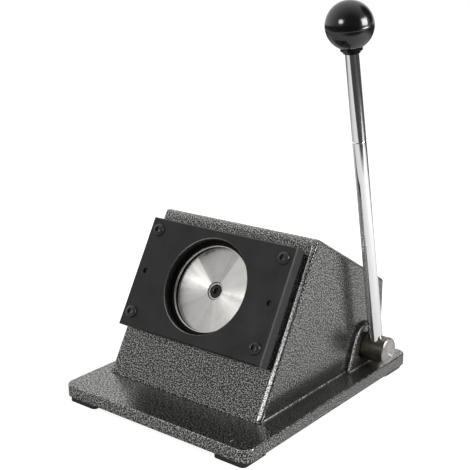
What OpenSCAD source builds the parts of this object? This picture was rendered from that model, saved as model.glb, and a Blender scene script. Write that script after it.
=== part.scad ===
// Lever circle die cutter for a desk: a slanted die plate, a punch behind it and a side lever.
// Sizes are in millimetres. +X is the lever side, +Y the back, +Z up.
// The origin lies under the middle of the whole object, on the surface that it stands on.

/* [Base plate] */
// Width of the base plate, left to right
base_w = 208; // [204:1:230]
// Depth of the base plate, front to back
base_d = 257; // [250:1:290]
// Thickness of the base plate
base_t = 11; // [9.5:0.5:14]
// Radius of the plate's corners in plan
base_corner_r = 10; // [6:0.5:14]
// Radius along the plate's top edge
base_edge_r = 1.25; // [0.75:0.25:2.5]

/* [Feet] */
// Side of a square foot
foot_size = 32; // [26:1:36]
// Height of a foot
foot_h = 5.5; // [4:0.25:8]
// Corner radius of a foot
foot_corner_r = 4; // [2:0.5:8]
// Distance from the base's front or back edge to a foot
foot_inset = 2.5; // [2:0.5:8]
// Distance from the base's side to a foot
foot_side = 4.5; // [2:0.5:8]
// Thread diameter of a foot's screw
foot_screw_d = 4; // [3:0.5:5]
// Length of a foot's screw in the base
foot_screw_len = 7; // [5:0.5:8]

/* [Housing] */
// Width of the housing
body_w = 173; // [168:1:180]
// Distance from the base's middle to the housing's middle, away from the lever
body_off = 3.5; // [0:0.5:6]
// Height of the housing's nose over the base
body_h = 141; // [136:1:150]
// Distance from the base's front edge to the foot of the face
body_front = 45; // [40:1:52]
// Distance from the cross shaft to the housing's back
body_back_gap = 35; // [30:0.5:38]
// Angle of the face from the base
face_tilt = 60; // [59:0.25:61]
// Thickness of the sides, the roof and the back
wall = 6; // [5:0.25:7]
// Thickness of the face
front_wall = 8; // [7:0.25:10]
// Radius of the nose
nose_r = 8; // [5:0.5:12]
// Radius where the roof meets the back
back_r = 12; // [7:0.5:16]
// Radius of the housing's long edges
body_edge_r = 4; // [2:0.25:5]
// Radius of the arch pad round the shaft
pad_r = 22.5; // [20.5:0.5:26]
// Half width of the arch pad at the base
pad_foot = 31.5; // [29:0.5:34.5]
// Height of the arch pad over the side
pad_proud = 4; // [3:0.25:5]
// Thread diameter of the screws that hold the housing
body_screw_d = 8; // [6:0.5:8]
// Distance from the housing's side to a housing screw
body_screw_side = 12; // [11:0.5:14]
// Diameter of the bosses that take the housing screws
screw_boss_d = 18; // [17.5:0.5:20]
// Distance from the foot of the face to the front housing screws
body_screw_front = 27; // [25:0.5:32]
// Distance from the cross shaft to the rear housing screws, in front of it
body_screw_back = 36.5; // [34:0.5:42]
// Height of the screw bosses over the base
screw_boss_h = 22; // [16:0.5:26]

/* [Die set] */
// Distance up the face to the punch axis
die_up = 97; // [95:0.5:99]
// Width of the die plate
plate_w = 162; // [158:1:165]
// Height of the die plate
plate_h = 104; // [100:1:110]
// Distance from the die's middle to the plate's middle, toward the base
plate_low = 1; // [0:0.25:2]
// Thickness of the die plate
plate_t = 13; // [11:0.5:16]
// Chamfer round the die plate's front
plate_chamfer = 1; // [0.5:0.1:1.5]
// Step back of the layers behind the die plate's edge
rim_in = 3; // [2:0.25:4]
// Depth of the step behind the die plate's edge
rim_t = 2.5; // [1.5:0.25:3.5]
// Clear height of the paper slot
slot = 1.8; // [1.2:0.1:3]
// Thickness of the guide plate
guide_t = 2.2; // [2:0.1:4]
// Diameter of the cut circle
cut_d = 78; // [74:0.5:79]
// Diameter of the relief in the die plate
relief_d = 87; // [85:0.5:88]
// Chamfer on the relief's front edge
relief_chamfer = 0.6; // [0.3:0.1:1]
// Outer diameter of the die ring
ring_d = 92; // [91:0.5:94]
// Thickness of the die ring
ring_t = 3.6; // [3:0.1:5]
// Width of a spacer strip
strip_w = 16; // [15:0.5:18]
// Outer diameter of the guide hub
hub_d = 92; // [88:0.5:93]
// Length of the guide hub behind the face
hub_len = 28; // [24:0.5:30]
// Thread diameter of a die screw
die_screw_d = 6; // [5:0.25:6.5]
// Head diameter of a die screw
die_head_d = 12; // [10:0.25:13]
// Head height of a die screw
die_head_h = 3.6; // [3:0.1:4.5]
// Distance from the die plate's sides to the columns of screws
die_screw_x = 10.5; // [9.5:0.25:12]
// Distance from the die plate's top to the upper screws; the lower ones lie as far from the die
die_screw_u = 11.5; // [10:0.25:14]
// Diameter of a dowel pin
dowel_d = 5; // [4:0.25:5.5]
// Depth of a dowel pin below the die plate's face
dowel_sunk = 2; // [1:0.25:3]

/* [Punch and ram] */
// Length of the punch
punch_len = 31; // [29:0.5:33]
// Depth of the punch's rim below the guide plate at rest
punch_back = 1.2; // [0.8:0.1:2]
// Depth of the five-facet hollow in the punch's face
dish = 1.7; // [1:0.1:2.5]
// Angle of the first crease between the facets
dish_turn = 67; // [0:1:71]
// Thread diameter of the punch's screw
punch_screw_d = 8; // [6:0.5:10]
// Head diameter of the punch's screw
punch_head_d = 13; // [12:0.5:15]
// Head height of the punch's screw
punch_head_h = 5; // [4:0.25:6]
// Outer diameter of the punch's washer
washer_d = 16; // [15.5:0.25:18]
// Thickness of the punch's washer
washer_t = 1.6; // [1:0.1:2]
// Diameter of the ram's stem
stem_d = 36; // [30:0.5:40]
// Depth of the stem's seat in the punch
stem_seat = 4; // [3:0.25:6]
// Distance from the housing's face to the crosshead
cross_s = 50; // [49:0.5:54]
// Thickness of the crosshead
cross_t = 12; // [10:0.5:14]
// Length of the crosshead
cross_w = 138; // [134:1:142]
// Height of the crosshead and the fork
cross_h = 26; // [24:0.5:30]
// Thickness of a fork cheek
cheek_t = 8; // [6:0.5:10]
// Travel of the punch
stroke = 7; // [6:0.25:8]
// Diameter of the cam roller
roller_d = 28; // [26:0.5:30]
// Width of the cam roller
roller_w = 18; // [16.5:0.25:20]
// Diameter of the roller's pin
pin_d = 10; // [8:0.5:12]
// Turn of the crosshead about the punch axis, which takes the guide rods clear of the dowel pins
cross_turn = 15; // [14:1:20]
// Distance from the punch axis to a guide rod
rod_x = 58; // [56:0.25:60]
// Diameter of a guide rod
rod_d = 10; // [8:0.5:10.5]
// Diameter of a guide rod's shoulder
shoulder_d = 13; // [12.5:0.25:14]
// Width across the flats of a rod nut
nut_af = 17; // [15:0.5:18]
// Thickness of a rod nut
nut_t = 8; // [6:0.5:9]
// Wire diameter of a return spring
spring_wire = 2.2; // [1.6:0.1:2.2]
// Mean diameter of a return spring
spring_d = 17.6; // [17.2:0.1:18]
// Turns of a return spring
spring_turns = 8; // [6:1:9]

/* [Lever] */
// Diameter of the cross shaft
shaft_d = 25; // [22:0.5:25.5]
// Height of the cross shaft over the base
shaft_h = 18; // [17.5:0.1:18.5]
// Wall of a shaft bush
bush_wall = 1.5; // [1.2:0.1:1.7]
// Turn of the lever from rest to the end of its stroke
lever_swing = 65; // [55:1:70]
// Lean of the lever at rest, forward of upright
lever_lean = 12.5; // [8:0.5:18]
// Distance from the arch pad to the middle of the lever rod
lever_off = 10.5; // [9:0.25:12.5]
// Distance from the middle of the lever rod to the shaft's end
shaft_past = 13; // [10:0.25:14.5]
// Chamfer on the shaft's ends
shaft_chamfer = 1; // [0.5:0.1:1.5]
// Width of the cam
cam_w = 16; // [13:0.5:16]
// Distance from the shaft to the roller at rest
cam_reach = 38; // [36:0.5:41]
// Diameter of the cam's cross pin
cam_pin_d = 6; // [4:0.5:7]
// Diameter of the lever rod at the shaft
lever_d = 13.2; // [12:0.1:14]
// Diameter of the lever rod at the knob
lever_top_d = 11.4; // [10.5:0.1:12]
// Distance from the shaft to the middle of the knob
lever_len = 306; // [280:1:330]
// Distance from the shaft to the ring groove in the rod
groove_at = 207; // [150:1:240]
// Depth of the ring groove
groove_depth = 0.5; // [0.3:0.05:0.8]
// Depth of the rod's seat below the shaft's middle
lever_seat = 8; // [6:0.25:9]
// Diameter of the ball knob
knob_d = 40; // [36:0.5:45]
// Distance from the knob's middle to its flat
knob_flat = 18; // [17:0.1:18.2]
// Diameter of the knob collar's upper step
collar_top_d = 18.4; // [17.5:0.1:20]
// Diameter of the knob collar's lower step
collar_low_d = 14.4; // [13.5:0.1:16]
// Height of each step of the knob collar
collar_step = 2.2; // [1.5:0.1:3]
// Diameter of the rod's thread in the knob
knob_thread_d = 8; // [6:0.5:9]
// Outer diameter of the knob's threaded insert
insert_d = 13; // [11:0.5:15]
// Length of the knob's threaded insert
insert_len = 14; // [10:0.5:18]
// Width of the shaft's clamp collar
clamp_w = 10; // [8:0.5:12]
// Diameter of the clamp collar's screw
clamp_screw_d = 5; // [4:0.5:6]
// Thickness of the thrust washer
thrust_t = 1.5; // [1:0.1:2]
// Thickness of the shaft's retaining ring
clip_t = 1.2; // [1:0.1:1.6]

/* [Fits] */
// Radial clearance of screws and pins in their holes
hole_clear = 0.1; // [0.05:0.01:0.2]
// Radial clearance of the sliding and turning fits
run_clear = 0.05; // [0.02:0.01:0.1]
// Gap between flat faces that move past each other
side_clear = 0.3; // [0.2:0.05:0.4]

/* [Hidden] */
$fn = 64;
FACETS = 5;
PAST = 1;
FAR = 400;
RING_STEPS = 8;
WIRE_SIDES = 6;
HEX = 6;

head_sunk = 0.5;
thread_spare = 2;
pin_past = 3;
clip_wide = 3;
cam_lead = 5;
cam_tail = 8;

base_top = foot_h + base_t;
plate_front = guide_t + slot + plate_t;
plate_back = guide_t + slot;
screw_x = plate_w / 2 - die_screw_x;
screw_u = plate_h / 2 - plate_low - die_screw_u;
ring_front = plate_back + ring_t;
face_y = body_front + die_up * cos(face_tilt);
face_z = base_top + die_up * sin(face_tilt);
nose_u = body_h / sin(face_tilt) - die_up;

shaft_s = (die_up * sin(face_tilt) - shaft_h) / cos(face_tilt);
shaft_y = face_y + shaft_s * sin(face_tilt);
shaft_z = base_top + shaft_h;
body_back = shaft_y + body_back_gap;
pad_x = body_w / 2 + pad_proud;
lever_x = pad_x + lever_off;
shaft_right = lever_x + shaft_past;
bush_d = shaft_d + 2 * bush_wall;
hub_r = shaft_h - 2 * side_clear;
thrust_x = -pad_x - side_clear;
clip_x = thrust_x - thrust_t - side_clear / 2;
shaft_left = clip_x - clip_t - side_clear / 2 - 2 * shaft_chamfer;
clip_groove = 0.6;

mid_x = (lever_x + knob_d / 2 + body_off - base_w / 2) / 2;

punch_r = cut_d / 2 - run_clear;
punch_s = guide_t - punch_back;
punch_end = punch_s - punch_len;
dish_s = punch_s - dish;
head_s = dish_s - head_sunk;
seat_s = head_s - punch_head_h - washer_t;
fork_gap = roller_w + 2 * side_clear;
roller_s = cam_reach - shaft_s;
pin_r = pin_d / 2;
pin_end = fork_gap / 2 + cheek_t + pin_past;
ring_groove = 1.3;
cam_rise = stroke / lever_swing;
cam_from = 90 + face_tilt;
cam_low = cam_from + cam_lead;
cam_high = cam_from - lever_swing - cam_tail;
cam_offset = roller_d / 2 + side_clear;
stop_s = cross_s - stroke - side_clear;
nut_s = cross_s + cross_t + side_clear;
rod_end = nut_s + nut_t + thread_spare;
spring_len = cross_s - front_wall - 2 * side_clear;
spring_rise = spring_len - spring_wire;
knob_s = lever_len - knob_flat;
collar_s = knob_s - 2 * collar_step;
clamp_r = hub_r;

body_head_d = body_screw_d * 1.6;
body_head_h = body_screw_d * 0.6;
body_head_sunk = body_head_h + head_sunk;
foot_head_d = foot_screw_d * 2;
foot_head_h = foot_screw_d * 0.5;
foot_head_rest = 1;
punch_grip = 12;
cam_pin_turn = 30;
cam_steps = 40;

// Places

// Base frame: x from the middle of the housing, y from the base's front edge, z from the floor.
module in_base() {
    translate([-mid_x, -base_d / 2, 0]) children();
}

// Face frame: x as before, y up the face, z out along the punch axis, from the housing's face.
module on_face() {
    in_base() translate([0, face_y, face_z]) rotate([face_tilt, 0, 0]) children();
}

// Shaft frame: the shaft's axis along z, pointing to the lever side.
module on_shaft(x = 0) {
    in_base() translate([x, shaft_y, shaft_z]) rotate([90, 0, 90]) children();
}

// Lever frame: z along the lever rod, from the shaft's axis.
module on_lever() {
    in_base() translate([lever_x, shaft_y, shaft_z]) rotate([lever_lean, 0, 0]) children();
}

module at_die_screws() {
    for (x = [-1, 1], u = [-1, 1]) translate([x * screw_x, u * screw_u, 0]) children();
}

module at_sides(x) {
    for (side = [-1, 1]) translate([side * x, 0, 0]) children();
}

module at_guide_rods() {
    rotate(cross_turn) at_sides(rod_x) children();
}

module at_feet() {
    x = base_w / 2 - foot_side - foot_size / 2;
    y = foot_inset + foot_size / 2;
    for (side = [-1, 1], row = [y, base_d - y]) translate([body_off + side * x, row, 0]) children();
}

module at_body_screws() {
    x = body_w / 2 - body_screw_side;
    for (side = [-1, 1], row = [body_front + body_screw_front, shaft_y - body_screw_back])
        translate([side * x, row, 0]) children();
}

// Shared shapes

function unit(v) = v / norm(v);

// A point of the side view, from its place up the face and along the punch axis.
function side_point(u, s) = [
    face_y + u * cos(face_tilt) - s * sin(face_tilt),
    face_z + u * sin(face_tilt) + s * cos(face_tilt)
];

// How far along the punch axis the roof at height u meets the upright plane at y.
function roof_end(u, y) = (face_y + u * cos(face_tilt) - y) / sin(face_tilt);

// A convex outline whose corners have their own radii.
module round_poly(points, radii) {
    n = len(points);
    arms = [for (i = [0:n - 1]) [
        unit(points[(i + n - 1) % n] - points[i]),
        unit(points[(i + 1) % n] - points[i])
    ]];
    half = [for (a = arms) acos(a[0] * a[1]) / 2];
    polygon([for (i = [0:n - 1]) each radii[i] == 0 ? [points[i]] : [
        points[i] + arms[i][0] * radii[i] / tan(half[i]),
        points[i] + arms[i][1] * radii[i] / tan(half[i])
    ]]);
    for (i = [0:n - 1]) if (radii[i] > 0)
        translate(points[i] + unit(arms[i][0] + arms[i][1]) * radii[i] / sin(half[i]))
            circle(radii[i]);
}

module rod(r, low, high) {
    translate([0, 0, low]) cylinder(h = high - low, r = r);
}

module tube(r, bore, low, high) {
    difference() {
        rod(r, low, high);
        rod(bore, low - PAST, high + PAST);
    }
}

module hex_rod(flats, low, high) {
    translate([0, 0, low]) cylinder(h = high - low, r = flats / 2 / cos(180 / HEX), $fn = HEX);
}

// A slab centred on the axis, standing on z = low.
module slab(w, h, low, high) {
    translate([-w / 2, -h / 2, low]) cube([w, h, high - low]);
}

// Half the section of a plate with a rounded top edge.
module edge_section(reach, t, r) {
    square([reach, t - r]);
    square([reach - r, t]);
    translate([reach - r, t - r]) circle(r);
}

// A retaining ring with its gap upward.
module clip_ring(inner, outer, t) {
    difference() {
        tube(outer, inner, 0, t);
        translate([-inner / 3, 0, -PAST]) cube([inner / 1.5, outer + PAST, t + 2 * PAST]);
    }
}

// A screw with a plain head and a hexagon socket; its head stands on z = 0.
module cap_screw(d, head_d, head_h, len, socket) {
    difference() {
        union() {
            rod(d / 2, -len, PAST);
            rod(head_d / 2, 0, head_h);
        }
        hex_rod(socket, head_h / 2, head_h + PAST);
    }
}

// Base

module base_plate() {
    span_x = base_w / 2 - base_corner_r;
    span_y = base_d / 2 - base_corner_r;
    color("dimgray") in_base() difference() {
        translate([body_off, base_d / 2, foot_h]) {
            for (turn = [0, 180]) rotate(turn) {
                rotate([90, 0, 0]) linear_extrude(2 * span_y, center = true)
                    edge_section(base_w / 2, base_t, base_edge_r);
                rotate([90, 0, 90]) linear_extrude(2 * span_x, center = true)
                    edge_section(base_d / 2, base_t, base_edge_r);
            }
            for (x = [-1, 1], y = [-1, 1]) translate([x * span_x, y * span_y, 0]) rotate_extrude()
                intersection() {
                    edge_section(base_corner_r, base_t, base_edge_r);
                    square([base_corner_r, base_t]);
                }
        }
        at_body_screws() {
            rod(body_screw_d / 2 + hole_clear, foot_h - PAST, base_top + PAST);
            rod(body_head_d / 2 + hole_clear, foot_h - PAST, foot_h + body_head_sunk);
        }
        at_feet() rod(foot_screw_d / 2 + hole_clear, foot_h - PAST, foot_h + foot_screw_len + PAST);
    }
}

module body_screws() {
    len = base_t - body_head_sunk + screw_boss_h - 2 * thread_spare;
    color("black") in_base() at_body_screws()
        translate([0, 0, foot_h + body_head_sunk]) mirror([0, 0, 1])
            cap_screw(body_screw_d, body_head_d, body_head_h, len, body_screw_d * 0.6);
}

module rubber_feet() {
    color("black") in_base() at_feet() difference() {
        linear_extrude(foot_h) round_poly(
            [for (a = [45:90:315]) foot_size / sqrt(2) * [cos(a), sin(a)]],
            [for (a = [45:90:315]) foot_corner_r]
        );
        rod(foot_screw_d / 2 + hole_clear, -PAST, foot_h + PAST);
        rod(foot_head_d / 2 + hole_clear, -PAST, foot_h - foot_head_rest);
    }
}

module foot_screws() {
    color("silver") in_base() at_feet()
        translate([0, 0, foot_h - foot_head_rest]) mirror([0, 0, 1])
            cap_screw(foot_screw_d, foot_head_d, foot_head_h, foot_head_rest + foot_screw_len,
                      foot_screw_d / 2);
}

// Housing

module side_extrude(width) {
    rotate([90, 0, 90]) linear_extrude(width, center = true) children();
}

module housing_outer() {
    half = body_w / 2;
    intersection() {
        in_base() side_extrude(body_w) round_poly(
            [side_point(-die_up, 0), [body_back, base_top],
             side_point(nose_u, roof_end(nose_u, body_back)), side_point(nose_u, 0)],
            [0, 0, back_r, nose_r]
        );
        on_face() rotate([90, 0, 0]) linear_extrude(FAR, center = true) round_poly(
            [[-half, -FAR], [half, -FAR], [half, 0], [-half, 0]],
            [0, 0, body_edge_r, body_edge_r]
        );
        on_face() linear_extrude(2 * FAR, center = true) round_poly(
            [[-half, -FAR], [half, -FAR], [half, nose_u], [-half, nose_u]],
            [0, 0, body_edge_r, body_edge_r]
        );
        in_base() linear_extrude(FAR) round_poly(
            [[-half, -FAR], [half, -FAR], [half, body_back], [-half, body_back]],
            [0, 0, body_edge_r, body_edge_r]
        );
    }
}

module housing_cavity() {
    roof = nose_u - wall;
    back = body_back - wall;
    foot = side_point(-die_up, -front_wall);
    lean = (foot[1] - base_top + PAST) / tan(face_tilt);
    in_base() side_extrude(body_w - 2 * wall) round_poly(
        [[foot[0] - lean, base_top - PAST], [back, base_top - PAST],
         side_point(roof, roof_end(roof, back)), side_point(roof, -front_wall)],
        [0, 0, back_r - wall, 0]
    );
}

module arch_pad() {
    reach = norm([pad_foot, shaft_h]);
    touch = acos(pad_r / reach) - atan2(shaft_h, pad_foot);
    side = pad_r * [cos(touch), sin(touch)];
    intersection() {
        union() {
            circle(pad_r);
            polygon([[-pad_foot, -shaft_h], [pad_foot, -shaft_h], side, [-side[0], side[1]]]);
        }
        translate([-FAR, -shaft_h]) square([FAR + body_back - shaft_y, FAR]);
    }
}

module housing() {
    color("gray") difference() {
        union() {
            difference() {
                housing_outer();
                housing_cavity();
            }
            for (x = [-pad_x, body_w / 2 - wall])
                on_shaft(x) linear_extrude(wall + pad_proud) arch_pad();
            in_base() at_body_screws() rod(screw_boss_d / 2, base_top, base_top + screw_boss_h);
        }
        on_face() {
            rod(hub_d / 2 + hole_clear, -front_wall - PAST, PAST);
            at_die_screws() rod(die_screw_d / 2 + hole_clear, -front_wall - PAST, PAST);
            at_sides(screw_x) rod(dowel_d / 2 + hole_clear, -front_wall - PAST, PAST);
            at_guide_rods() rod(rod_d / 2 + hole_clear, -front_wall - PAST, PAST);
        }
        on_shaft() rod(bush_d / 2 + hole_clear, -FAR, FAR);
        in_base() at_body_screws()
            rod(body_screw_d / 2 + hole_clear, base_top - PAST, base_top + screw_boss_h - thread_spare);
    }
}

module bush(x) {
    color("darkgoldenrod") on_shaft(x)
        tube(bush_d / 2, shaft_d / 2 + run_clear, 0, wall + pad_proud - side_clear);
}

module bush_left() {
    bush(side_clear - pad_x);
}

module bush_right() {
    bush(body_w / 2 - wall);
}

// Die set

module stack_holes() {
    at_die_screws() rod(die_screw_d / 2 + hole_clear, -PAST, plate_front + PAST);
    at_sides(screw_x) rod(dowel_d / 2 + hole_clear, -PAST, plate_front + PAST);
}

// A section whose two front corners are chamfered.
module chamfer_section(w, low, high, c) {
    polygon([[-w / 2, low], [w / 2, low], [w / 2, high - c], [w / 2 - c, high], [c - w / 2, high],
             [-w / 2, high - c]]);
}

// A layer of the die set behind the die plate's rim.
module stack_slab(w, low, high) {
    translate([0, -plate_low, 0]) slab(w, plate_h - 2 * rim_in, low, high);
}

module die_plate() {
    step_s = plate_back + rim_t;
    color("black") on_face() difference() {
        union() {
            translate([0, -plate_low, 0]) intersection() {
                rotate([90, 0, 0]) linear_extrude(plate_h, center = true)
                    chamfer_section(plate_w, step_s, plate_front, plate_chamfer);
                rotate([90, 0, 90]) linear_extrude(plate_w, center = true)
                    chamfer_section(plate_h, step_s, plate_front, plate_chamfer);
            }
            stack_slab(plate_w - 2 * rim_in, plate_back, step_s);
        }
        rod(relief_d / 2, plate_back - PAST, plate_front + PAST);
        translate([0, 0, plate_front - relief_chamfer]) cylinder(
            h = 2 * relief_chamfer, r1 = relief_d / 2, r2 = relief_d / 2 + 2 * relief_chamfer);
        rod(ring_d / 2 + hole_clear, plate_back - PAST, ring_front);
        stack_holes();
    }
}

module die_ring() {
    color("silver") on_face() tube(ring_d / 2, cut_d / 2, plate_back, ring_front);
}

module spacer(side) {
    x = plate_w / 2 - rim_in - strip_w / 2;
    color("dimgray") on_face() difference() {
        translate([side * x, 0, 0]) stack_slab(strip_w, guide_t, plate_back);
        stack_holes();
    }
}

module spacer_left() {
    spacer(-1);
}

module spacer_right() {
    spacer(1);
}

module guide_plate() {
    color("dimgray") on_face() difference() {
        union() {
            stack_slab(plate_w - 2 * rim_in, 0, guide_t);
            rod(hub_d / 2, -hub_len, guide_t);
        }
        rod(punch_r + run_clear, -hub_len - PAST, guide_t + PAST);
        stack_holes();
    }
}

module die_screws() {
    dome_r = (die_head_d ^ 2 / 4 + die_head_h ^ 2) / (2 * die_head_h);
    color("black") on_face() at_die_screws() translate([0, 0, plate_front]) difference() {
        union() {
            rod(die_screw_d / 2, -plate_front - front_wall, PAST);
            intersection() {
                translate([0, 0, die_head_h - dome_r]) sphere(dome_r);
                rod(die_head_d / 2, 0, die_head_h);
            }
        }
        hex_rod(die_screw_d * 2 / 3, die_head_h / 3, die_head_h + PAST);
    }
}

module dowel_pins() {
    color("silver") on_face() at_sides(screw_x)
        rod(dowel_d / 2, -front_wall, plate_front - dowel_sunk);
}

// Punch and ram

module punch() {
    color("silver") on_face() difference() {
        rod(punch_r, punch_end, punch_s);
        translate([0, 0, dish_s]) rotate(dish_turn)
            cylinder(h = 2 * dish, r1 = 0, r2 = 2 * punch_r / cos(180 / FACETS), $fn = FACETS);
        rod(washer_d / 2 + side_clear, seat_s, punch_s + PAST);
        rod(punch_screw_d / 2 + hole_clear, punch_end - PAST, punch_s + PAST);
        rod(stem_d / 2 + hole_clear, punch_end - PAST, punch_end + stem_seat);
    }
}

module punch_washer() {
    color("silver") on_face()
        tube(washer_d / 2, punch_screw_d / 2 + hole_clear, seat_s, seat_s + washer_t);
}

module punch_screw() {
    len = seat_s + washer_t - punch_end + punch_grip;
    color("black") on_face() translate([0, 0, seat_s + washer_t])
        cap_screw(punch_screw_d, punch_head_d, punch_head_h, len, punch_screw_d * 0.6);
}

module ram() {
    cheek_x = fork_gap / 2 + cheek_t / 2;
    color("slategray") on_face() difference() {
        union() {
            rod(stem_d / 2, -cross_s - cross_t / 2, punch_end + stem_seat);
            rotate(cross_turn) slab(cross_w, cross_h, -cross_s - cross_t, -cross_s);
            at_sides(cheek_x) {
                slab(cheek_t, cross_h, roller_s, -cross_s - cross_t / 2);
                translate([-cheek_t / 2, 0, roller_s]) rotate([0, 90, 0]) rod(cross_h / 2, 0, cheek_t);
            }
        }
        rod(punch_screw_d / 2 + hole_clear, punch_end - punch_grip - thread_spare,
            punch_end + stem_seat + PAST);
        at_guide_rods() rod(rod_d / 2 + run_clear, -cross_s - cross_t - PAST, PAST - cross_s);
        translate([0, 0, roller_s]) rotate([0, 90, 0])
            rod(pin_r + run_clear / 2, -pin_end, pin_end);
    }
}

// Section of the roller's pin, with a groove for a ring near each end.
module pin_section() {
    side = fork_gap / 2 + cheek_t + side_clear / 2;
    polygon([
        [0, -pin_end], [pin_r, -pin_end],
        [pin_r, -side - ring_groove], [pin_r - clip_groove, -side - ring_groove],
        [pin_r - clip_groove, -side], [pin_r, -side],
        [pin_r, side], [pin_r - clip_groove, side],
        [pin_r - clip_groove, side + ring_groove], [pin_r, side + ring_groove],
        [pin_r, pin_end], [0, pin_end]
    ]);
}

module on_roller() {
    on_face() translate([0, 0, roller_s]) rotate([90, 0, 90]) children();
}

module roller_pin() {
    color("silver") on_roller() rotate_extrude() pin_section();
}

module pin_circlips() {
    side = fork_gap / 2 + cheek_t + side_clear / 2 + run_clear;
    t = ring_groove - 2 * run_clear;
    color("dimgray") on_roller() for (z = [side, -side - t])
        translate([0, 0, z]) clip_ring(pin_r - clip_groove + run_clear, pin_r + clip_wide, t);
}

module cam_roller() {
    color("silver") on_roller() tube(roller_d / 2, pin_r + run_clear, -roller_w / 2, roller_w / 2);
}

module guide_rods() {
    color("silver") on_face() at_guide_rods() {
        rod(rod_d / 2, -rod_end, 0);
        rod(shoulder_d / 2, -stop_s, -front_wall);
    }
}

module rod_nuts() {
    color("dimgray") on_face() at_guide_rods() difference() {
        hex_rod(nut_af, -nut_s - nut_t, -nut_s);
        rod(rod_d / 2 + run_clear, -nut_s - nut_t - PAST, PAST - nut_s);
    }
}

// Middle of the spring's wire at turn t.
function coil_point(t) = [
    spring_d / 2 * cos(360 * t),
    spring_d / 2 * sin(360 * t),
    spring_rise * t / spring_turns
];

// One ring of points round the wire at turn t.
function coil_ring(t) =
    let (out = [cos(360 * t), sin(360 * t), 0])
    [for (i = [0:WIRE_SIDES - 1])
        let (a = 360 * i / WIRE_SIDES)
        coil_point(t) + spring_wire / 2 * (cos(a) * out + sin(a) * [0, 0, 1])];

module spring() {
    rings = spring_turns * RING_STEPS;
    points = [for (r = [0:rings]) each coil_ring(r / RING_STEPS)];
    sides = [for (r = [0:rings - 1], i = [0:WIRE_SIDES - 1])
        let (a = r * WIRE_SIDES + i, b = r * WIRE_SIDES + (i + 1) % WIRE_SIDES)
        each [[a, b, b + WIRE_SIDES], [a, b + WIRE_SIDES, a + WIRE_SIDES]]];
    first = [for (i = [1:WIRE_SIDES - 2]) [0, i + 1, i]];
    end = rings * WIRE_SIDES;
    last = [for (i = [1:WIRE_SIDES - 2]) [end, end + i, end + i + 1]];
    polyhedron(points, concat(sides, first, last));
}

module return_springs() {
    gap = norm(coil_point(1) - coil_point(0)) - spring_wire;
    echo(least_gap_between_spring_turns = gap);
    color("lightgray") on_face() at_guide_rods()
        translate([0, 0, side_clear + spring_wire / 2 - cross_s]) spring();
}

// Lever

// Section of the shaft, chamfered at both ends, with the groove for its retaining ring.
module shaft_section() {
    r = shaft_d / 2;
    c = shaft_chamfer;
    groove_far = clip_x - clip_t - side_clear / 2;
    polygon([
        [0, shaft_left], [r - c, shaft_left], [r, shaft_left + c],
        [r, groove_far], [r - clip_groove, groove_far],
        [r - clip_groove, clip_x + side_clear / 2], [r, clip_x + side_clear / 2],
        [r, shaft_right - c], [r - c, shaft_right], [0, shaft_right]
    ]);
}

module cam_pin_axis(grow, reach) {
    rotate([0, 90, cam_pin_turn]) rod(cam_pin_d / 2 + grow, -reach, reach);
}

module shaft() {
    color("dimgray") difference() {
        on_shaft() rotate_extrude() shaft_section();
        on_lever() rod(lever_d / 2 + hole_clear, -lever_seat, FAR / 10);
        on_shaft() cam_pin_axis(run_clear, shaft_d);
    }
}

// A point of the cam's edge: the roller's path at angle a, moved in by the roller's radius.
function cam_edge(a) =
    let (path = cam_reach + cam_rise * (cam_from - a))
    let (climb = cam_rise * 180 / PI)
    let (slant = norm([path, climb]))
    let (out = [cos(a), sin(a)])
    let (along = [-sin(a), cos(a)])
    out * path - cam_offset / slant * (out * path + along * climb);

// Where a line from the cam's edge at angle a touches the hub.
function hub_touch(a, side) =
    let (p = cam_edge(a))
    let (turn = atan2(p[1], p[0]) + side * acos(hub_r / norm(p)))
    hub_r * [cos(turn), sin(turn)];

module cam() {
    color("slategray") on_shaft() difference() {
        linear_extrude(cam_w, center = true) {
            circle(hub_r);
            polygon([
                [0, 0],
                hub_touch(cam_high, -1),
                for (i = [0:cam_steps])
                    cam_edge(cam_high + (cam_low - cam_high) * i / cam_steps),
                hub_touch(cam_low, 1)
            ]);
        }
        rod(shaft_d / 2 + run_clear, -cam_w, cam_w);
        cam_pin_axis(run_clear, shaft_d);
    }
}

module cam_pin() {
    color("silver") on_shaft() cam_pin_axis(0, hub_r - head_sunk);
}

module shaft_collar() {
    color("dimgray") on_shaft(wall - body_w / 2 + side_clear) difference() {
        tube(clamp_r, shaft_d / 2 + run_clear, 0, clamp_w);
        translate([0, 0, clamp_w / 2]) rotate([-90, 0, 0])
            rod(clamp_screw_d / 2 + run_clear, 0, 2 * clamp_r);
    }
}

module collar_screw() {
    top = clamp_r - head_sunk;
    color("black") on_shaft(wall - body_w / 2 + side_clear) translate([0, 0, clamp_w / 2])
        rotate([-90, 0, 0]) difference() {
            rod(clamp_screw_d / 2, shaft_d / 2 + run_clear, top);
            hex_rod(clamp_screw_d / 2, top - 1, top + PAST);
        }
}

module thrust_washer() {
    color("silver") on_shaft(thrust_x - thrust_t) tube(clamp_r, shaft_d / 2 + run_clear, 0, thrust_t);
}

module shaft_circlip() {
    color("dimgray") on_shaft(clip_x - clip_t)
        clip_ring(shaft_d / 2 - clip_groove + run_clear, clamp_r - head_sunk, clip_t);
}

// Section of the lever rod: seat, taper with its ring groove, and the thread for the knob.
module lever_section() {
    low = lever_d / 2;
    top = lever_top_d / 2;
    start = shaft_d / 2;
    at_groove = low + (top - low) * (groove_at - start) / (collar_s - start);
    thread = knob_thread_d / 2;
    end = knob_s + insert_len - thread_spare;
    polygon([
        [0, side_clear - lever_seat], [low, side_clear - lever_seat], [low, start],
        [at_groove, groove_at - groove_depth], [at_groove - groove_depth, groove_at],
        [at_groove, groove_at + groove_depth],
        [top, collar_s], [thread, collar_s], [thread, end], [0, end]
    ]);
}

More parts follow.
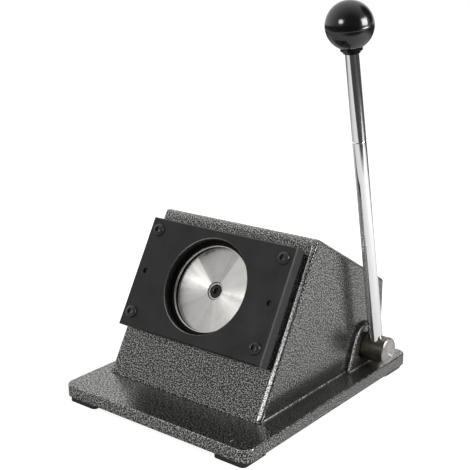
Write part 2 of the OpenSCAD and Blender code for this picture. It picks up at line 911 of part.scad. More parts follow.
module lever_rod() {
    color("silver") on_lever() rotate_extrude() lever_section();
}

module knob() {
    color("black") on_lever() difference() {
        intersection() {
            translate([0, 0, lever_len]) sphere(knob_d / 2);
            rod(knob_d, knob_s, lever_len + knob_d);
        }
        rod(insert_d / 2, knob_s - PAST, knob_s + insert_len);
    }
}

module knob_insert() {
    color("goldenrod") on_lever()
        tube(insert_d / 2, knob_thread_d / 2 + run_clear, knob_s, knob_s + insert_len);
}

module knob_collar() {
    color("black") on_lever() difference() {
        union() {
            rod(collar_low_d / 2, collar_s, knob_s);
            rod(collar_top_d / 2, knob_s - collar_step, knob_s);
        }
        rod(knob_thread_d / 2 + run_clear, collar_s - PAST, knob_s + PAST);
    }
}

base_plate();
rubber_feet();
foot_screws();
housing();
body_screws();
bush_left();
bush_right();
guide_plate();
spacer_left();
spacer_right();
die_plate();
die_ring();
die_screws();
dowel_pins();
guide_rods();
rod_nuts();
return_springs();
shaft();
cam();
cam_pin();
shaft_collar();
collar_screw();
thrust_washer();
shaft_circlip();
lever_rod();
knob();
knob_insert();
knob_collar();
punch();
punch_screw();
punch_washer();
ram();
roller_pin();
pin_circlips();
cam_roller();
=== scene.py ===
import math

import bmesh
import bpy
from mathutils import Matrix, Vector


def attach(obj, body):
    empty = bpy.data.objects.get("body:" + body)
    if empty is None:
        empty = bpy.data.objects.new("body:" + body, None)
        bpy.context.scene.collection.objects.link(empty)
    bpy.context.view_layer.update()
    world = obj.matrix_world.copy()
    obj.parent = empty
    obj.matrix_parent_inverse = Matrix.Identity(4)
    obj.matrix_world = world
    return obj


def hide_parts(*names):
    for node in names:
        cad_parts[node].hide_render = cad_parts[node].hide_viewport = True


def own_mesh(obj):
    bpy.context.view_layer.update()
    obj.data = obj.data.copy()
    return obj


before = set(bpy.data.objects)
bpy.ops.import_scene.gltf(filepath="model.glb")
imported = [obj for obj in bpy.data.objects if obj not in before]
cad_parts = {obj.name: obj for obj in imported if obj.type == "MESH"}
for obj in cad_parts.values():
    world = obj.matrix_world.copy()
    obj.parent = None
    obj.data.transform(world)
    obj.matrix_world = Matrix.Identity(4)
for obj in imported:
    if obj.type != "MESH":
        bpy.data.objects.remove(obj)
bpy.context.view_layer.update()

MM = 0.001
scene = bpy.context.scene
scene.view_settings.view_transform = "Standard"

# Places and sizes of the CAD model, in millimetres. The die face has a frame of its own at FACE_AT,
# with x across, y up the slope and z along the punch axis.
FACE_AT = Vector((-10.25, -35.0, 100.505))
FACE_TILT = math.radians(60.0)
PLATE_SIDE, PLATE_FRONT = 81.0, 17.0
OPENING_R, CUT_R, LAND_BACK = 43.5, 39.0, 5.6
SCREW_X, SCREW_U = 70.5, 39.5
ROD_X, ROD_TURN = 58.0, math.radians(15.0)
SHAFT_AT = Vector((-10.25, 79.323, 34.5))
SHAFT_END = 103.75
LEVER_X, LEVER_LENGTH = 90.75, 306.0
LEVER_LEAN = math.radians(12.5)
BASE_TOP = 16.5
HOUSING_LEFT, HOUSING_RIGHT = -96.75, 76.25
HOUSING_FRONT, HOUSING_BACK = -83.5, 114.323
PAD_PROUD, PAD_R, PAD_FOOT = 4.0, 22.5, 31.5

# The punch's five facet faces: the share of a turn where each starts, from the left, and its painted shade,
# which stands in for the different reflection each tilted face shows. The last entry is the first facet
# again, which lies across the turn's end.
FACET_STARTS_AND_SHADES = ((0.0, 0.94), (0.086, 0.86), (0.286, 0.95), (0.486, 1.0), (0.686, 0.8), (0.886, 0.94))

# Where the base plate's paint is scuffed
SCUFFED_AT = Vector((82.0, -115.0, BASE_TOP))

# The shaft's sawn end: how far the strokes are turned from level, and the middle and turn of a nick
STROKE_TURN = 0.4
NICK_AT = SHAFT_AT + Vector((0.0, 1.8, -4.1))
NICK_TURN = math.radians(-37.0)

# The camera that took the photo: its place in millimetres, how far it looks down and is turned, its
# focal length and frame in pixels, and the width of a sensor in millimetres that stands for the frame
CAMERA_AT = (508.43, -665.28, 387.0)
CAMERA_DOWN, CAMERA_TURN = math.radians(16.06), math.radians(38.21)
FOCAL_PIXELS, PHOTO_PIXELS, SENSOR = 972.17, 470.0, 36.0

# The stage, in metres: the level direction from the object to the camera, the direction of a dark corner
# of the room behind the object, which the base's right rim shows, half the table's width, and the point
# that the lamps look at
CAMERA_WAY = (0.618, -0.786, 0.0)
DARK_CORNER = (0.43, 0.77, 0.47)
TABLE_HALF = 6.0
LAMP_AIM = Vector((0.0, 0.0, 0.12))
WHITE = (1.0, 1.0, 1.0, 1.0)

# Vertices closer than this are one, and edges sharper than this stay sharp
WELD = 0.002 * MM
SHARP = math.radians(35.0)

FACE = Matrix.Translation(FACE_AT) @ Matrix.Rotation(FACE_TILT, 4, "X")
LEVER = Matrix.Translation((LEVER_X, SHAFT_AT.y, SHAFT_AT.z)) @ Matrix.Rotation(LEVER_LEAN, 4, "X")


# Finishes

class Nodes:
    """Builds a node tree. A socket takes a plain value or the socket of another node."""

    def __init__(self, tree):
        self.tree = tree

    def put(self, socket, value):
        if isinstance(value, bpy.types.NodeSocket):
            self.tree.links.new(value, socket)
        else:
            socket.default_value = value

    def node(self, kind, settings=None, **sockets):
        """A node with its settings, and values for the sockets of these names."""
        made = self.tree.nodes.new(kind)
        for key, value in (settings or {}).items():
            setattr(made, key, value)
        for key, value in sockets.items():
            self.put(made.inputs[key.replace("_", " ")], value)
        return made

    def numbered(self, kind, settings, sockets):
        """A node with its settings, and values for the sockets of these numbers."""
        made = self.node(kind, settings)
        for at, value in sockets.items():
            self.put(made.inputs[at], value)
        return made

    def calc(self, operation, a, b=0.0):
        return self.numbered("ShaderNodeMath", {"operation": operation}, {0: a, 1: b}).outputs[0]

    def vector(self, operation, a, b=(0.0, 0.0, 0.0)):
        made = self.numbered("ShaderNodeVectorMath", {"operation": operation}, {0: a, 1: b})
        return made.outputs["Value" if operation in ("LENGTH", "DOT_PRODUCT") else "Vector"]

    def parts(self, vector):
        """The x, y and z of a vector."""
        return self.node("ShaderNodeSeparateXYZ", Vector=vector).outputs

    def span(self, value, low, high, start=0.0, end=1.0):
        """A ramp from start, where a value is low, to end, where it is high."""
        return self.node("ShaderNodeMapRange", Value=value, From_Min=low, From_Max=high,
                         To_Min=start, To_Max=end).outputs[0]

    def gate(self, share, *bands):
        """A share times ramps, each given as a value, where it starts and where it is full."""
        for band in bands:
            share = self.calc("MULTIPLY", share, self.span(*band))
        return share

    def mix(self, a, b, share=0.5):
        return self.numbered("ShaderNodeMix", {"data_type": "FLOAT"}, {0: share, 2: a, 3: b}).outputs[0]

    def blend(self, a, b, share):
        """A mix of two colours."""
        return self.numbered("ShaderNodeMix", {"data_type": "RGBA"}, {0: share, 6: a, 7: b}).outputs[2]

    def choose(self, a, b, share):
        """A mix of two shaders."""
        return self.numbered("ShaderNodeMixShader", {}, {0: share, 1: a, 2: b}).outputs[0]


class Finish(Nodes):
    """A node material whose patterns read Object coordinates."""

    def __init__(self, name, metallic=0.0):
        self.material = bpy.data.materials.new(name)
        self.material.use_nodes = True
        super().__init__(self.material.node_tree)
        self.shader = self.tree.nodes["Principled BSDF"]
        self.set(Metallic=metallic)
        spot = self.node("ShaderNodeTexCoord").outputs
        self.place, self.facing = spot["Object"], spot["Normal"]

    def set(self, **sockets):
        for key, value in sockets.items():
            self.put(self.shader.inputs[key.replace("_", " ")], value)

    def noise(self, scale, detail=2.0, roughness=0.5, place=None):
        return self.node("ShaderNodeTexNoise", Vector=place or self.place, Scale=scale,
                         Detail=detail, Roughness=roughness).outputs["Fac"]

    def streaks(self, value, scale, roughness):
        """Noise that changes along one value only."""
        return self.node("ShaderNodeTexNoise", {"noise_dimensions": "1D"}, W=value, Scale=scale,
                         Detail=3.0, Roughness=roughness).outputs["Fac"]

    def stretched(self, scale, turn=(0.0, 0.0, 0.0)):
        """Coordinates scaled along the axes, then turned."""
        return self.node("ShaderNodeMapping", Vector=self.place, Scale=scale, Rotation=turn).outputs[0]

    def centred(self, at, tilt):
        """Coordinates in a frame that stands at a place, in millimetres, tilted about the x axis."""
        return self.node("ShaderNodeMapping", {"vector_type": "TEXTURE"}, Vector=self.place,
                         Location=Vector(at) * MM, Rotation=(tilt, 0.0, 0.0)).outputs[0]

    def ramp(self, value, *stops, blending="LINEAR"):
        """Colours by value. A stop is where it stands and its shade, a grey or three shares of light."""
        made = self.node("ShaderNodeValToRGB", Fac=value)
        made.color_ramp.interpolation = blending
        steps = made.color_ramp.elements
        while len(steps) < len(stops):
            steps.new(0.5)
        for step, (at, shade) in zip(steps, stops):
            step.position = at
            step.color = (*(shade if isinstance(shade, tuple) else (shade,) * 3), 1.0)
        return made.outputs["Color"]

    def bump(self, height, distance, strength, socket="Normal"):
        made = self.node("ShaderNodeBump", Height=height, Distance=distance, Strength=strength)
        self.set(**{socket: made.outputs[0]})


def mm_band(value, low, high):
    """A value and where its ramp starts and is full, given in millimetres."""
    return value, low * MM, high * MM


def about_punch(made):
    """Coordinates in the die face's frame, one by one, and the distance from the punch axis."""
    local = made.centred(FACE_AT, FACE_TILT)
    flat = made.vector("MULTIPLY", local, (1.0, 1.0, 0.0))
    return made.parts(local), made.vector("LENGTH", flat)


def paint_wear_and_edge_highlights(made):
    """Mask of painted highlights along the housing's right front edge and the base's top edge, and of real
    scuffs by its front corner.
    """
    across, forward, up = made.parts(made.facing)
    height = made.parts(made.place)[2]
    # Painted highlight along the housing's right front edge, where its rounding catches the lamps; it fades
    # upwards.
    highlight_fade_up = made.span(*mm_band(height, 60.0, 130.0), 1.0, 0.3)
    front = made.gate(highlight_fade_up, mm_band(height, BASE_TOP + 1.7, BASE_TOP + 3.0), (across, 0.0, 0.06),
                      (across, 0.72, 0.6), (forward, -0.3, -0.4), (up, 0.15, 0.25))
    # Painted highlight along the base's top edge, speckled, where its rounding catches the light.
    rim = made.gate(0.25, mm_band(height, BASE_TOP - 1.3, BASE_TOP - 0.9),
                    mm_band(height, BASE_TOP, BASE_TOP - 0.08), (up, 0.3, 0.5),
                    (made.noise(420.0, 3.0, 0.7), 0.44, 0.58))
    apart = made.vector("LENGTH", made.vector("SUBTRACT", made.place, SCUFFED_AT * MM))
    marks = made.noise(1.0, 3.0, 0.6, made.stretched((520.0, 70.0, 70.0), (0.0, 0.0, 0.15)))
    scuffs = made.gate(0.7, mm_band(apart, 17.0, 11.0), (marks, 0.63, 0.68))
    return made.calc("MAXIMUM", front, made.calc("MAXIMUM", rim, scuffs))


def laid_flat(made):
    """Flat coordinates that lie evenly on the side walls, the slopes and the level faces."""
    # A slope that faces forward rises to the back, and one that faces backward falls
    across, backward, _ = made.parts(made.facing)
    x, y, z = made.parts(made.place)
    rising = made.vector("DOT_PRODUCT", made.place, (0.0, 0.8, 0.8))
    falling = made.vector("DOT_PRODUCT", made.place, (0.0, 0.8, -0.8))
    slope = made.mix(rising, falling, made.calc("GREATER_THAN", backward, 0.1))
    wall = made.calc("GREATER_THAN", made.calc("ABSOLUTE", across), 0.6)
    return made.node("ShaderNodeCombineXYZ", X=made.mix(x, y, wall), Y=made.mix(slope, z, wall)).outputs[0]


def hammertone(name="hammer_paint", relief=1.0, dull=0.0, clear=0.4):
    """Hammer-finish paint: dark and light metal flecks, dimpled under a clear gloss, with painted highlights
    along the housing's right front edge and the base's top edge and pale scuffs by the base's front corner.
    """
    made = Finish(name)
    cells = made.node("ShaderNodeTexVoronoi", {"feature": "SMOOTH_F1", "voronoi_dimensions": "2D"},
                      Vector=laid_flat(made), Scale=740.0, Smoothness=0.08, Randomness=0.9).outputs
    fleck = made.node("ShaderNodeSeparateColor", Color=cells["Color"]).outputs[0]
    dimple = made.span(cells["Distance"], 0.15, 0.6)
    cloud = made.noise(60.0)
    tone = made.mix(made.mix(fleck, dimple, 0.85), cloud, 0.06)
    paint = made.ramp(tone, (0.43, (0.002, 0.002, 0.0015)), (0.55, (0.037, 0.0366, 0.0353)),
                      (0.8, (0.4, 0.397, 0.385)))
    # Pale colour for the painted edge highlights and the scuffs
    pale_scuff_and_highlight = made.ramp(tone, (0.36, 0.02), (0.52, 0.95))
    wear_and_painted_highlight = paint_wear_and_edge_highlights(made)
    made.set(Base_Color=made.blend(paint, pale_scuff_and_highlight, wear_and_painted_highlight), Metallic=made.mix(0.85, 0.2, wear_and_painted_highlight))
    made.set(Roughness=made.mix(made.span(tone, 0.3, 0.7, 0.28 + dull, 0.2 + dull), 0.5, wear_and_painted_highlight))
    made.set(Coat_Weight=clear, Coat_Roughness=0.16)
    made.bump(dimple, relief * 0.05 * MM, 0.5)
    made.bump(dimple, relief * 0.1 * MM, 0.6, "Coat_Normal")
    return made.material


def plate_wear_and_edge_highlight(made, black):
    """The die plate's colour: black, bare metal round the opening, and a painted highlight along the right
    edge where its chamfer catches the light.
    """
    (across, _, height), radius = about_punch(made)
    ragged = made.mix(radius, made.noise(250.0, 3.0), 0.0004)
    bare = made.gate(1.0, mm_band(ragged, OPENING_R + 0.15, OPENING_R + 0.4),
                     mm_band(radius, OPENING_R + 0.6, OPENING_R + 0.45),
                     mm_band(height, PLATE_FRONT - 1.4, PLATE_FRONT - 0.8))
    # Painted highlight: a lighter line along the right edge's chamfer, where the right lamp would glint.
    edge = made.gate(0.8, mm_band(across, PLATE_SIDE - 1.2, PLATE_SIDE - 1.0),
                     mm_band(height, PLATE_FRONT - 1.1, PLATE_FRONT - 0.9))
    made.set(Metallic=bare)
    black_with_edge_highlight = made.blend(black, (0.11, 0.11, 0.108, 1.0), edge)
    return made.blend(black_with_edge_highlight, (0.36, 0.35, 0.34, 1.0), bare)


def black_oxide(name="black_oxide", lighter=1.0, wear_and_painted_highlight=False):
    """Satin black steel; the die plate's copy has bare metal round its opening and a painted highlight along
    its right edge.
    """
    made = Finish(name)
    grain = made.noise(900.0, 3.0)
    patches = made.noise(45.0, 4.0)
    black = made.ramp(patches, (0.3, 0.005 * lighter), (0.7, 0.011 * lighter))
    made.set(Base_Color=plate_wear_and_edge_highlight(made, black) if wear_and_painted_highlight else black, Specular_IOR_Level=0.4)
    made.set(Roughness=made.span(made.mix(grain, patches), 0.35, 0.65, 0.26, 0.38))
    made.bump(grain, 0.012 * MM, 0.35)
    return made.material


def steel(name, dark, light, roughness):
    """Plain metal with drawn lines."""
    made = Finish(name, metallic=1.0)
    lines = made.noise(1.0, 3.0, place=made.stretched((900.0, 900.0, 60.0)))
    made.set(Base_Color=made.ramp(lines, (0.3, dark), (0.7, light)))
    made.set(Roughness=made.span(lines, 0.3, 0.7, roughness - 0.05, roughness + 0.05))
    made.bump(lines, 0.01 * MM, 0.3)
    return made.material


def turned_steel():
    """Bright turned face of the punch: fine rings round the punch axis that pull the gloss into a bow tie,
    and a painted shade that makes each facet a little darker or lighter.
    """
    made = Finish("turned_steel", metallic=1.0)
    (x, y, _), radius = about_punch(made)
    turn = made.calc("ARCTAN2", y, x)
    rings = made.streaks(radius, 5200.0, 0.65)
    rays = made.streaks(turn, 2.6, 0.55)
    tone = made.mix(made.mix(rings, made.noise(90.0, 3.0), 0.4), rays, 0.4)
    bright = made.ramp(tone, (0.3, (0.7, 0.685, 0.66)), (0.7, (0.98, 0.965, 0.94)))
    # Painted shade: each facet's colour is scaled, standing in for the reflection its tilt shows.
    facet_shades = made.ramp(made.span(turn, -math.pi, math.pi), *FACET_STARTS_AND_SHADES, blending="CONSTANT")
    outward = made.vector("SUBTRACT", made.place, FACE_AT * MM)
    made.set(Base_Color=made.vector("MULTIPLY", bright, facet_shades))
    made.set(Roughness=made.span(tone, 0.35, 0.65, 0.23, 0.36))
    made.set(Anisotropic=0.7, Tangent=made.vector("NORMALIZE", outward))
    made.bump(rings, 0.004 * MM, 0.25)
    return made.material


def die_land():
    """Die ring: black oxide on the face and behind the cutting land, which is ground bright."""
    made = Finish("die_land", metallic=1.0)
    (_, _, height), radius = about_punch(made)
    face = made.span(*mm_band(radius, CUT_R + 0.3, CUT_R + 0.6))
    relief = made.span(*mm_band(height, LAND_BACK, LAND_BACK - 0.3))
    black = made.calc("MAXIMUM", face, relief)
    grain = made.noise(1.0, 3.0, place=made.stretched((300.0, 2200.0, 2200.0)))
    bright = made.ramp(grain, (0.3, (0.72, 0.71, 0.68)), (0.7, (0.96, 0.95, 0.92)))
    made.set(Base_Color=made.blend(bright, (0.012, 0.012, 0.011, 1.0), black))
    made.set(Roughness=made.mix(0.22, 0.42, black))
    made.bump(grain, 0.006 * MM, 0.3)
    return made.material


def nicked(made, light):
    """The sawn end's colour, with a bright nick and a painted shade beside it, as the nick would cast."""
    _, along, aside = made.parts(made.centred(NICK_AT, NICK_TURN))
    # Painted shade beside the nick, where its lip would shade the sawn end.
    nick_shade = made.gate(0.75, mm_band(along, -2.0, 1.0), mm_band(along, 4.9, 4.0),
                     mm_band(aside, -2.8, -2.0), mm_band(aside, -0.7, -1.2))
    nick = made.gate(1.0, mm_band(along, -4.9, -3.0), mm_band(along, 4.9, 4.3),
                     mm_band(aside, -0.9, -0.4), mm_band(aside, 0.9, 0.4))
    return made.blend(made.blend(light, (0.15, 0.147, 0.14, 1.0), nick_shade), (0.97, 0.96, 0.94, 1.0), nick)


def shaft_finish():
    """Oil-dark round bar with a bare sawn end, brushed one way and nicked."""
    made = Finish("shaft_steel", metallic=1.0)
    bare = made.span(*mm_band(made.parts(made.place)[0], SHAFT_END - 1.0, SHAFT_END - 0.65))
    rings = made.noise(1.0, 3.0, place=made.stretched((2600.0, 90.0, 90.0)))
    stain = made.noise(70.0, 4.0, 0.6)
    oiled = made.mix(rings, stain, 0.6)
    dark = made.ramp(oiled, (0.32, (0.08, 0.075, 0.063)), (0.62, (0.26, 0.243, 0.205)))
    strokes = made.vector("MULTIPLY", made.centred(SHAFT_AT, STROKE_TURN), (100.0, 150.0, 1300.0))
    saw = made.mix(made.noise(1.0, 4.0, 0.6, strokes), stain, 0.4)
    light = made.ramp(saw, (0.38, (0.27, 0.264, 0.253)), (0.6, (0.56, 0.55, 0.532)))
    made.set(Base_Color=made.blend(dark, nicked(made, light), bare))
    made.set(Roughness=made.span(saw, 0.3, 0.7, 0.3, 0.42))
    made.bump(made.mix(rings, saw, bare), 0.03 * MM, 0.4)
    return made.material


def chrome():
    """Mirror chrome with a faint haze and draw lines."""
    made = Finish("lever_chrome", metallic=1.0)
    haze = made.noise(60.0, 4.0, 0.6)
    draw = made.noise(1.0, place=made.stretched((1500.0, 1500.0, 25.0), (LEVER_LEAN, 0.0, 0.0)))
    made.set(Base_Color=made.ramp(haze, (0.3, (0.95, 0.95, 0.955)), (0.7, (0.99, 0.99, 0.995))))
    made.set(Roughness=made.span(made.mix(haze, draw), 0.3, 0.7, 0.04, 0.09))
    made.bump(draw, 0.003 * MM, 0.15)
    return made.material


def gloss_moulding():
    """Glossy black plastic."""
    made = Finish("knob_plastic")
    flow = made.noise(90.0, 3.0)
    made.set(Base_Color=made.ramp(flow, (0.3, 0.0035), (0.7, 0.007)), Specular_IOR_Level=0.75)
    made.set(Roughness=made.span(made.noise(300.0, 3.0), 0.3, 0.7, 0.14, 0.22))
    made.bump(flow, 0.03 * MM, 0.15)
    return made.material


def rubber():
    """Matt black rubber."""
    made = Finish("foot_rubber")
    grain = made.noise(1200.0, 3.0)
    made.set(Base_Color=made.ramp(grain, (0.3, 0.006), (0.7, 0.016)))
    made.set(Roughness=made.span(grain, 0.3, 0.7, 0.6, 0.8))
    made.bump(grain, 0.08 * MM, 0.5)
    return made.material


FINISHES = {
    "hammer_paint": hammertone(),
    "foot_rubber": rubber(),
    "zinc_steel": steel("zinc_steel", 0.55, 0.75, 0.4),
    "black_steel": black_oxide(),
    # The bush's bronze is painted nearly black, a painted shade for its end in the shade round the shaft.
    "bush_bronze": steel("bush_bronze", (0.035, 0.026, 0.016), (0.09, 0.066, 0.038), 0.38),
    "tool_steel": steel("tool_steel", 0.3, 0.5, 0.3),
    "ground_steel": turned_steel(),
    "spring_steel": steel("spring_steel", (0.25, 0.25, 0.26), (0.4, 0.4, 0.41), 0.32),
    "shaft_steel": shaft_finish(),
    "lever_chrome": chrome(),
    "knob_plastic": gloss_moulding(),
    "insert_brass": steel("insert_brass", (0.5, 0.36, 0.12), (0.68, 0.5, 0.2), 0.3),
}
TRIM_PAINT = hammertone("hammer_trim", relief=4.0, dull=0.25, clear=0.1)
DIE_LAND = die_land()
DIE_FACE = black_oxide("die_face", wear_and_painted_highlight=True)
# The screws' black is painted three times lighter, a painted highlight for the soft light on their heads.
SCREW_BLACK_PAINTED_LIT = black_oxide("screw_black_painted_lit", lighter=3.0)


# Modelling

def placed(name, data):
    """A new object in the scene."""
    made = bpy.data.objects.new(name, data)
    scene.collection.objects.link(made)
    return made


def piece(bm, name, body, slot, *stands_for, finish=None):
    """Welds a bmesh, gives it its slot's finish or one of its own, and hangs it on a CAD body."""
    bmesh.ops.remove_doubles(bm, verts=bm.verts, dist=WELD)
    bmesh.ops.recalc_face_normals(bm, faces=bm.faces)
    mesh = bpy.data.meshes.new(name)
    bm.to_mesh(mesh)
    bm.free()
    mesh.polygons.foreach_set("use_smooth", [True] * len(mesh.polygons))
    mesh.set_sharp_from_angle(angle=SHARP)
    mesh.materials.append(finish or FINISHES[slot])
    made = placed(name, mesh)
    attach(made, body)
    if stands_for:
        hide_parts(*stands_for)
    return made


def settle(bm, place=Matrix.Identity(4)):
    """Moves millimetre geometry to its place in the frame, in metres."""
    bmesh.ops.transform(bm, matrix=Matrix.Scale(MM, 4) @ place, verts=bm.verts)


def join(whole, bm):
    """Adds a finished bmesh to a larger one."""
    part = bpy.data.meshes.new("part")
    bm.to_mesh(part)
    bm.free()
    whole.from_mesh(part)
    bpy.data.meshes.remove(part)


def bead(points, radius, sides=8):
    """A round bead along a line of points, as a bmesh in millimetres."""
    line = bpy.data.curves.new("bead", "CURVE")
    line.dimensions = "3D"
    line.bevel_depth = radius
    line.bevel_resolution = sides // 2 - 1
    line.use_fill_caps = True
    run = line.splines.new("POLY")
    run.points.add(len(points) - 1)
    for at, point in zip(run.points, points):
        at.co = (*point, 1.0)
    holder = placed("bead", line)
    mesh = bpy.data.meshes.new_from_object(holder.evaluated_get(bpy.context.evaluated_depsgraph_get()))
    bm = bmesh.new()
    bm.from_mesh(mesh)
    bpy.data.objects.remove(holder)
    bpy.data.curves.remove(line)
    bpy.data.meshes.remove(mesh)
    return bm


def lathe(profile, closed=False):
    """Turns a profile, given as radius and height, about the z axis."""
    bm = bmesh.new()
    verts = [bm.verts.new((radius, 0.0, height)) for radius, height in profile]
    for a, b in zip(verts, verts[1:] + verts[:1] if closed else verts[1:]):
        bm.edges.new((a, b))
    bmesh.ops.spin(bm, geom=bm.verts[:] + bm.edges[:], cent=(0, 0, 0), axis=(0, 0, 1), angle=math.tau,
                   steps=64, use_merge=True)
    return bm


def stack(*runs):
    """Circles about the z axis joined in turn. The last one is filled, and the first stays open, since it
    lies hidden in the part. A run is a count of sides, then the radius and height of its circles."""
    bm = bmesh.new()
    last = []
    for sides, *circles in runs:
        for radius, height in circles:
            made = bmesh.ops.create_circle(bm, segments=sides, radius=radius)["verts"]
            bmesh.ops.translate(bm, verts=made, vec=(0.0, 0.0, height))
            edges = list(dict.fromkeys(e for v in made for e in v.link_edges))
            if last:
                bmesh.ops.bridge_loops(bm, edges=last + edges)
            last = edges
    bmesh.ops.holes_fill(bm, edges=last)
    return bm


def arc(centre, radius, start, end, steps):
    """Points of an arc in a plane, angles in degrees."""
    angles = [math.radians(start + (end - start) * i / steps) for i in range(steps + 1)]
    return [(centre[0] + radius * math.cos(a), centre[1] + radius * math.sin(a)) for a in angles]


def arch_outline(inset):
    """The arch pad's edge in a side view, from its front foot over the shaft to its back foot."""
    radius, foot = PAD_R - inset, PAD_FOOT - inset
    drop = SHAFT_AT.z - BASE_TOP
    reach = math.hypot(foot, drop)
    touch = math.degrees(math.acos(radius / reach) - math.atan2(drop, foot))
    return [(-foot, -drop)] + arc((0.0, 0.0), radius, 180.0 - touch, touch, 24) + [(foot, -drop)]


def foot_bead():
    """The fillet of paint and putty where the housing stands on the base plate."""
    thick, lift, corner, steps = 1.1, 0.35, 4.0, 6
    left, right = HOUSING_LEFT, HOUSING_RIGHT
    front, back = HOUSING_FRONT, HOUSING_BACK
    pad_left, pad_right = left - PAD_PROUD, right + PAD_PROUD
    pad_front, pad_back = SHAFT_AT.y - PAD_FOOT, SHAFT_AT.y + PAD_FOOT
    path = arc((left + corner, front + corner), corner, 270.0, 180.0, steps)
    path += [(left, pad_front), (pad_left, pad_front), (pad_left, pad_back), (left, pad_back)]
    path += arc((left + corner, back - corner), corner, 180.0, 90.0, steps)
    path += arc((right - corner, back - corner), corner, 90.0, 0.0, steps)
    path += [(right, pad_back), (pad_right, pad_back), (pad_right, pad_front), (right, pad_front)]
    path += arc((right - corner, front + corner), corner, 0.0, -90.0, steps)
    path.append(path[0])
    bm = bead([(x, y, BASE_TOP + lift) for x, y in path], thick)
    settle(bm)
    piece(bm, "foot_bead", "frame", "hammer_paint", finish=TRIM_PAINT)


def pad_rim(name, x, side):
    """The rounded lip along the edge of an arch pad."""
    lip, proud = 1.7, 0.4
    sunk = lip - proud
    outline = [(x - side * sunk, SHAFT_AT.y + y, SHAFT_AT.z + z) for y, z in arch_outline(sunk)]
    bm = bead(outline, lip, sides=12)
    settle(bm)
    piece(bm, name, "frame", "hammer_paint", finish=TRIM_PAINT)


def return_springs():
    """Two coil springs round the guide rods, which the ram shortens."""
    wire, coil, turns, steps = 1.1, 8.8, 8, 28
    low, high = -49.7, -8.3
    rise = (high - low - 2 * wire) / (turns * steps)
    whole = bmesh.new()
    for side in (-1, 1):
        bm = bmesh.new()
        ring = bmesh.ops.create_circle(bm, segments=10, radius=wire)["verts"]
        bmesh.ops.rotate(bm, verts=ring, matrix=Matrix.Rotation(math.pi / 2, 3, "X"))
        bmesh.ops.translate(bm, verts=ring, vec=(coil, 0.0, low + wire))
        bmesh.ops.spin(bm, geom=bm.verts[:] + bm.edges[:], cent=(0, 0, 0), axis=(0, 0, 1),
                       dvec=(0.0, 0.0, rise), angle=turns * math.tau, steps=turns * steps)
        bmesh.ops.holes_fill(bm, edges=[e for e in bm.edges if e.is_boundary])
        settle(bm, FACE @ Matrix.Rotation(ROD_TURN, 4, "Z") @ Matrix.Translation((ROD_X * side, 0, 0)))
        join(whole, bm)
    made = piece(whole, "coil_springs", "frame", "spring_steel", "return_springs")
    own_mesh(made)


def die_screws():
    """Button-head screws with hexagon sockets, their edges broken as rolled screws have them."""
    shank = [(3.0, -24.0), (3.0, 0.0)]
    head = [(5.7, 0.0), (6.0, 0.3), (5.95, 0.8), (5.6, 1.6), (4.9, 2.45), (4.0, 3.1), (3.1, 3.5),
            (2.75, 3.55)]
    socket = [(2.55, 3.45), (2.36, 3.2), (2.36, 1.2)]
    whole = bmesh.new()
    for x in (-SCREW_X, SCREW_X):
        for u in (-SCREW_U, SCREW_U):
            bm = stack((32, *shank, *head), (6, *socket))
            # Each screw came to rest at a turn of its own
            turn = 0.4 * x + u
            settle(bm, FACE @ Matrix.Translation((x, u, PLATE_FRONT)) @ Matrix.Rotation(turn, 4, "Z"))
            join(whole, bm)
    piece(whole, "button_screws", "frame", "black_steel", "die_screws", finish=SCREW_BLACK_PAINTED_LIT)


def punch_screw():
    """Socket screw in the middle of the punch, its head sunk in a bright seat ring."""
    shank = [(4.0, -40.0), (4.0, -6.2)]
    head = [(5.9, -6.2), (5.9, -1.9), (5.5, -1.5), (3.5, -1.4)]
    socket = [(3.2, -1.6), (3.2, -4.0)]
    bm = stack((32, *shank), (40, *head), (6, *socket))
    settle(bm, FACE)
    piece(bm, "punch_cap_screw", "ram", "black_steel", "punch_screw")


def seat_ring():
    """Bright ring round the punch's screw, with a broken outer edge and a chamfered bore."""
    outside = [(4.5, -7.8), (7.8, -7.8), (7.8, -1.35), (7.45, -1.0)]
    bore = [(6.7, -0.95), (6.05, -1.6), (6.05, -6.2), (4.5, -6.2)]
    bm = lathe(outside + bore, closed=True)
    settle(bm, FACE)
    piece(bm, "punch_seat_ring", "ram", "zinc_steel", "punch_washer")


def ball_knob():
    """Moulded ball with a parting line round it and a flat where it meets the collar."""
    radius, flat, flat_r = 20.0, -18.0, 8.0
    seam_angle, seam_half, seam_proud = 1.2, 0.18, 0.1
    low = math.degrees(math.asin(flat / radius))
    profile = [(0.0, flat), (flat_r, flat)]
    profile += arc((0.0, 0.0), radius, low, -seam_angle, 20)
    profile += [(radius + seam_proud, -seam_half), (radius + seam_proud, seam_half)]
    profile += arc((0.0, 0.0), radius, seam_angle, 90.0, 24)[:-1]
    profile.append((0.0, radius))
    bm = lathe(profile)
    settle(bm, LEVER @ Matrix.Translation((0.0, 0.0, LEVER_LENGTH)))
    piece(bm, "ball_knob", "lever", "knob_plastic", "knob")


NODE_FINISHES = {
    "hammer_paint": ["base_plate", "housing"],
    "foot_rubber": ["rubber_feet"],
    "zinc_steel": ["foot_screws", "rod_nuts", "thrust_washer"],
    "black_steel": ["body_screws", "spacer_left", "spacer_right", "collar_screw", "dowel_pins"],
    "bush_bronze": ["bush_left", "bush_right"],
    "tool_steel": ["guide_plate", "guide_rods", "cam_pin", "roller_pin", "cam_roller"],
    "ground_steel": ["punch"],
    "spring_steel": ["shaft_circlip", "pin_circlips"],
    "shaft_steel": ["shaft", "cam", "shaft_collar", "ram"],
    "lever_chrome": ["lever_rod"],
    "knob_plastic": ["knob_collar"],
    "insert_brass": ["knob_insert"],
}


def dress(name, finish):
    """Gives a CAD node its finish."""
    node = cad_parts[name]
    for place in node.material_slots:
        place.material = finish
    if not node.material_slots:
        node.data.materials.append(finish)


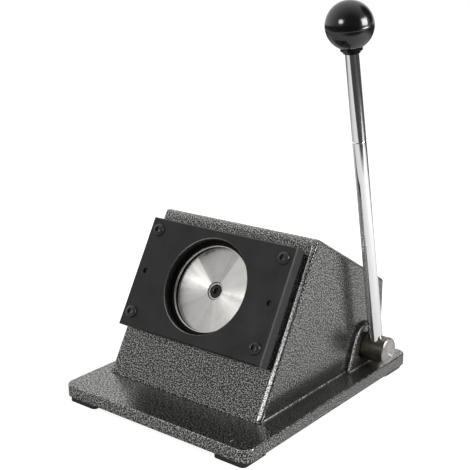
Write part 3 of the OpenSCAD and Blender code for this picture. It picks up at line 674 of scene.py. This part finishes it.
def dress_nodes():
    for finish, names in NODE_FINISHES.items():
        for name in names:
            dress(name, FINISHES[finish])
    dress("die_ring", DIE_LAND)
    dress("die_plate", DIE_FACE)


# Stage

def studio_world():
    """White room that is dark behind the camera and in one corner, as shiny pieces show, and an even fill."""
    world = bpy.data.worlds.new("studio")
    scene.world = world
    world.use_nodes = True
    world.node_tree.nodes.clear()
    made = Nodes(world.node_tree)
    path = made.node("ShaderNodeLightPath").outputs
    way = made.node("ShaderNodeTexCoord").outputs["Generated"]
    wall = made.span(made.vector("DOT_PRODUCT", way, CAMERA_WAY), -0.3, 0.7, 1.0, 0.06)
    corner = made.span(made.vector("DOT_PRODUCT", way, DARK_CORNER), 0.85, 0.93, 1.0, 0.03)
    fill, room, white = [made.node("ShaderNodeBackground", Color=WHITE, Strength=strength).outputs[0]
                         for strength in (0.45, made.calc("MULTIPLY", wall, corner), 1.0)]
    mirrored = made.calc("MAXIMUM", path["Is Glossy Ray"], path["Is Transmission Ray"])
    seen = made.choose(made.choose(fill, room, mirrored), white, path["Is Camera Ray"])
    made.node("ShaderNodeOutputWorld", Surface=seen)


def studio_floor():
    """A white table top that ends towards the camera, which only reflections show."""
    bm = bmesh.new()
    bmesh.ops.create_grid(bm, x_segments=1, y_segments=1, size=TABLE_HALF)
    mesh = bpy.data.meshes.new("floor")
    bm.to_mesh(mesh)
    bm.free()
    floor = placed("floor", mesh)
    made = Finish("white_table")
    path = made.node("ShaderNodeLightPath").outputs
    away = made.vector("LENGTH", made.place)
    past = made.span(made.vector("DOT_PRODUCT", made.place, CAMERA_WAY), 0.36, 0.42)
    top = made.ramp(made.span(away, 0.6, 1.2), (0.0, 0.75), (1.0, 0.08))
    made.set(Base_Color=made.blend(top, (0.02, 0.02, 0.02, 1.0), past), Roughness=0.9)
    pale = made.calc("MAXIMUM", made.span(away, 0.15, 0.6, 0.75, 1.0), past)
    made.set(Emission_Color=WHITE, Emission_Strength=made.calc("MULTIPLY", path["Is Camera Ray"], pale))
    mesh.materials.append(made.material)


def softbox(name, way, reach, width, height, power):
    """An area lamp that looks at the object from the direction way."""
    lamp = bpy.data.lights.new(name, "AREA")
    lamp.shape = "RECTANGLE"
    lamp.size, lamp.size_y = width, height
    lamp.energy = power
    box = placed(name, lamp)
    back = Vector(way).normalized()
    box.location = LAMP_AIM + back * reach
    box.rotation_euler = back.to_track_quat("Z", "Y").to_euler()


def photo_camera():
    """The camera that took the photo."""
    camera = bpy.data.cameras.new("photo_camera")
    camera.sensor_width = SENSOR
    camera.lens = SENSOR * FOCAL_PIXELS / PHOTO_PIXELS
    holder = placed("photo_camera", camera)
    holder.location = [along * MM for along in CAMERA_AT]
    holder.rotation_euler = (math.pi / 2 - CAMERA_DOWN, 0.0, CAMERA_TURN)
    scene.camera = holder


photo_camera()
dress_nodes()
foot_bead()
pad_rim("pad_rim_left", HOUSING_LEFT - PAD_PROUD, -1)
pad_rim("pad_rim_right", HOUSING_RIGHT + PAD_PROUD, 1)
return_springs()
die_screws()
punch_screw()
seat_ring()
ball_knob()
studio_world()
studio_floor()
softbox("front_box", (-0.1, -0.89, 0.42), reach=1.5, width=0.4, height=0.34, power=7.5)
softbox("right_box", (0.89, 0.25, 0.375), reach=1.3, width=0.6, height=0.5, power=13.0)
